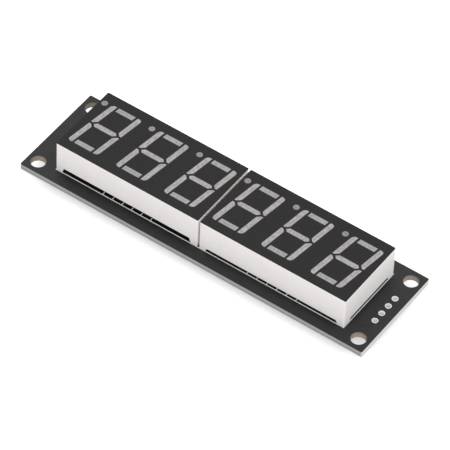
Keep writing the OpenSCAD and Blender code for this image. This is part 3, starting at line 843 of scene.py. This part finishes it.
class DISPLAY_OT_segments(Operator):
    """Pours the segments and dots, with a sunken surface in each window"""
    bl_idname = "display_module.segments"
    bl_label = "Segments"

    def execute(self, context):
        look = looks(context).display
        resin = poured_resin(look)
        for side in SIDES:
            poured_segments(side, look, resin)
        return {"FINISHED"}


class DISPLAY_OT_lamps(Operator):
    """Finishes the lamp boards and the lamps inside the displays"""
    bl_idname = "display_module.lamps"
    bl_label = "Lamp boards"

    def execute(self, context):
        laminate, crystal = bare_laminate(looks(context).board), lamp_crystal()
        for side in SIDES:
            dress(f"{side}_lamp_board", laminate)
            dress(f"{side}_lamp_chips", crystal)
        return {"FINISHED"}


class DISPLAY_OT_pins(Operator):
    """Finishes the display pins and their solder"""
    bl_idname = "display_module.pins"
    bl_label = "Pins and solder"

    def execute(self, context):
        look = looks(context).metal
        wire, solder = drawn_metal(look, "pin_metal_finish", True), frozen_solder(look)
        for side in SIDES:
            dress(f"{side}_pins", wire)
            dress(f"{side}_solder", solder)
        dress("surface_solder", solder)
        return {"FINISHED"}


class DISPLAY_OT_driver(Operator):
    """Finishes the driver chip and its leads"""
    bl_idname = "display_module.driver"
    bl_label = "Driver chip"

    def execute(self, context):
        under = looks(context).underside
        dress("driver_chip", chip_epoxy(under))
        soften("driver_chip", under.chip_round)
        dress("driver_leads", drawn_metal(looks(context).metal, "lead_finish", False))
        return {"FINISHED"}


class DISPLAY_OT_small_parts(Operator):
    """Finishes the capacitors and resistors"""
    bl_idname = "display_module.small_parts"
    bl_label = "Small parts"

    def execute(self, context):
        under, metal = looks(context).underside, looks(context).metal
        for node, axis in SMALL_PARTS.items():
            if node.endswith("resistor"):
                dress(node, capped_part(node, axis, metal.tin, under.alumina, under.resistor))
            else:
                dress(node, capped_part(node, axis, metal.tin, under.ceramic))
            soften(node, under.part_round * (1.0 if node.endswith("capacitor") else 0.5), angle=60)
        return {"FINISHED"}


class DISPLAY_OT_tracks(Operator):
    """Lays the tracks and vias that show through the mask of the underside"""
    bl_idname = "display_module.tracks"
    bl_label = "Tracks and vias"

    def execute(self, context):
        look = looks(context).board
        lines, vias = header_routes()
        lines = lead_routes() + lines
        bm = bmesh.new()
        for line in lines:
            mesh = ridge(line, look.track_width, look.track_height)
            bm.from_mesh(mesh)
            bpy.data.meshes.remove(mesh)
        for x, y in vias:
            via_ring(bm, x, y, look.via / 2, look.track_height)
        bmesh.ops.recalc_face_normals(bm, faces=bm.faces)
        keep(bm, "underside_tracks", solder_mask(look, "track_mask_finish", 1.5), 60)
        return {"FINISHED"}


class DISPLAY_OT_underside_print(Operator):
    """Prints outlines round the parts on the underside"""
    bl_idname = "display_module.underside_print"
    bl_label = "Underside print"

    def execute(self, context):
        bm = bmesh.new()
        chip, half = span("driver_chip")
        printed_frame(bm, chip, half.x + CHIP_OUTLINE_MARGIN, CHIP_OUTLINE_Y)
        for node, axis in SMALL_PARTS.items():
            middle, half = span(node)
            margin_x, margin_y = ((PART_SIDE_MARGIN, PART_END_MARGIN) if axis
                                  else (PART_END_MARGIN, PART_SIDE_MARGIN))
            printed_frame(bm, middle, half.x + margin_x, half.y + margin_y)
        printed_frame(bm, span("header_hole_1")[0], FIRST_HOLE_SQUARE, FIRST_HOLE_SQUARE)
        printed_dot(bm, *FIRST_LEAD_MARK, FIRST_LEAD_MARK_RADIUS)
        bmesh.ops.recalc_face_normals(bm, faces=bm.faces)
        ink = print_ink(looks(context).board, "underside_print_finish")
        keep(bm, "underside_print", ink)
        return {"FINISHED"}


class DISPLAY_OT_stage(Operator):
    """Sets the floor, the soft light and the camera"""
    bl_idname = "display_module.stage"
    bl_label = "Stage"

    def execute(self, context):
        look = looks(context).stage
        set_floor(look)
        set_light(context, look)
        set_camera(context, look)
        return {"FINISHED"}


FLOOR_GAP = 0.02 * MM
FLOOR_REACH = 3.0
# Each lamp's name, place and side
LAMPS = (("key", (-0.34, 0.30, 0.50), 0.45), ("fill", (0.35, -0.25, 0.45), 0.5))


def white_rays(tree):
    """1 for rays that show the background: camera, mirror and see-through rays."""
    rays = tree.nodes.new("ShaderNodeLightPath")
    total = rays.outputs["Is Camera Ray"]
    for name in ("Is Glossy Ray", "Is Transmission Ray"):
        both = tree.nodes.new("ShaderNodeMath")
        both.operation = "MAXIMUM"
        tree.links.new(total, both.inputs[0])
        tree.links.new(rays.outputs[name], both.inputs[1])
        total = both.outputs[0]
    return total


def set_floor(look):
    """A matt floor just below the chip, brightened where the camera sees it."""
    bm = bmesh.new()
    place = Matrix.Translation((0, 0, CAD_BOX[0].z - FLOOR_GAP))
    bmesh.ops.create_grid(bm, x_segments=1, y_segments=1, size=FLOOR_REACH, matrix=place)
    mesh = bpy.data.meshes.new("floor")
    bm.to_mesh(mesh)
    bm.free()
    floor = bpy.data.objects.new("floor", mesh)
    bpy.context.scene.collection.objects.link(floor)
    material = bpy.data.materials.new("floor_finish")
    material.use_nodes = True
    tree = material.node_tree
    tree.nodes.clear()
    matt = tree.nodes.new("ShaderNodeBsdfDiffuse")
    matt.inputs["Color"].default_value = rgba(look.floor)
    glow = tree.nodes.new("ShaderNodeEmission")
    lift = tree.nodes.new("ShaderNodeMath")
    lift.operation = "MULTIPLY"
    tree.links.new(white_rays(tree), lift.inputs[0])
    lift.inputs[1].default_value = look.lift
    tree.links.new(lift.outputs[0], glow.inputs["Strength"])
    both = tree.nodes.new("ShaderNodeAddShader")
    tree.links.new(matt.outputs[0], both.inputs[0])
    tree.links.new(glow.outputs[0], both.inputs[1])
    out = tree.nodes.new("ShaderNodeOutputMaterial")
    tree.links.new(both.outputs[0], out.inputs["Surface"])
    mesh.materials.append(material)


def set_light(context, look):
    """An even white sky and two large lamps."""
    world = bpy.data.worlds.new("studio")
    context.scene.world = world
    world.use_nodes = True
    tree = world.node_tree
    plain = tree.nodes["Background"]
    plain.inputs["Color"].default_value = (1, 1, 1, 1)
    plain.inputs["Strength"].default_value = look.sky
    white = tree.nodes.new("ShaderNodeBackground")
    white.inputs["Color"].default_value = (1, 1, 1, 1)
    pick = tree.nodes.new("ShaderNodeMixShader")
    tree.links.new(white_rays(tree), pick.inputs[0])
    tree.links.new(plain.outputs[0], pick.inputs[1])
    tree.links.new(white.outputs[0], pick.inputs[2])
    tree.links.new(pick.outputs[0], tree.nodes["World Output"].inputs["Surface"])
    for name, place, size in LAMPS:
        lamp = bpy.data.lights.new(name, "AREA")
        lamp.energy = getattr(look, name)
        lamp.size = size
        lamp_object = bpy.data.objects.new(name, lamp)
        lamp_object.location = place
        lamp_object.rotation_euler = Vector(place).to_track_quat("Z", "Y").to_euler()
        context.scene.collection.objects.link(lamp_object)


def set_camera(context, look):
    """A camera that sees the module as the photo does."""
    a, e, r = look.azimuth, look.elevation, look.roll
    back = Vector((math.sin(a) * math.cos(e), -math.cos(a) * math.cos(e), math.sin(e)))
    level_right = (-back).cross(Vector((0, 0, 1))).normalized()
    level_up = level_right.cross(-back)
    right = level_right * math.cos(r) + level_up * math.sin(r)
    up = level_up * math.cos(r) - level_right * math.sin(r)
    lens = bpy.data.cameras.new("camera")
    lens.sensor_width = 36
    lens.lens = look.focal
    lens.clip_start, lens.clip_end = 0.01, 20
    camera = bpy.data.objects.new("camera", lens)
    place = Matrix((right, up, back)).transposed().to_4x4()
    place.translation = Vector(look.target) + back * look.distance
    camera.matrix_world = place
    context.scene.collection.objects.link(camera)
    context.scene.camera = camera
    context.scene.view_settings.view_transform = "Standard"


# Sidebar

class DisplayModule(PropertyGroup):
    """Every look of the module"""
    board: PointerProperty(name="Board", description="Looks of the board", type=BoardLook)
    display: PointerProperty(name="Displays", description="Looks of the displays", type=DisplayLook)
    metal: PointerProperty(name="Metal", description="Looks of the metal", type=MetalLook)
    underside: PointerProperty(name="Underside", description="Looks of the parts underneath",
                               type=UndersideLook)
    stage: PointerProperty(name="Stage", description="Floor, light and camera", type=StageLook)


PIECES = (
    DISPLAY_OT_board, DISPLAY_OT_plating, DISPLAY_OT_housings, DISPLAY_OT_faces, DISPLAY_OT_segments,
    DISPLAY_OT_lamps, DISPLAY_OT_pins, DISPLAY_OT_driver, DISPLAY_OT_small_parts, DISPLAY_OT_tracks,
    DISPLAY_OT_underside_print, DISPLAY_OT_stage,
)


class DISPLAY_PT_module(Panel):
    """Sidebar panel with the module's pieces and looks"""
    bl_idname = "DISPLAY_PT_module"
    bl_label = "Display module"
    bl_space_type = "VIEW_3D"
    bl_region_type = "UI"
    bl_category = "Display module"

    def draw(self, context):
        column = self.layout.column(align=True)
        for piece in PIECES:
            column.operator(piece.bl_idname)
        for group in ("board", "display", "metal", "underside", "stage"):
            look = getattr(looks(context), group)
            box = self.layout.box()
            box.label(text=group.capitalize())
            for name in look.__annotations__:
                box.prop(look, name)


CLASSES = (
    BoardLook, DisplayLook, MetalLook, UndersideLook, StageLook, DisplayModule, *PIECES, DISPLAY_PT_module,
)


def register():
    for item in CLASSES:
        bpy.utils.register_class(item)
    bpy.types.Scene.display_module = PointerProperty(type=DisplayModule)


def unregister():
    del bpy.types.Scene.display_module
    for item in reversed(CLASSES):
        bpy.utils.unregister_class(item)


def main():
    register()
    module = bpy.ops.display_module
    module.stage()
    module.board()
    module.plating()
    module.housings()
    module.faces()
    module.segments()
    module.lamps()
    module.pins()
    module.driver()
    module.small_parts()
    module.tracks()
    module.underside_print()
    bpy.context.view_layer.update()


if __name__ == "__main__":
    main()
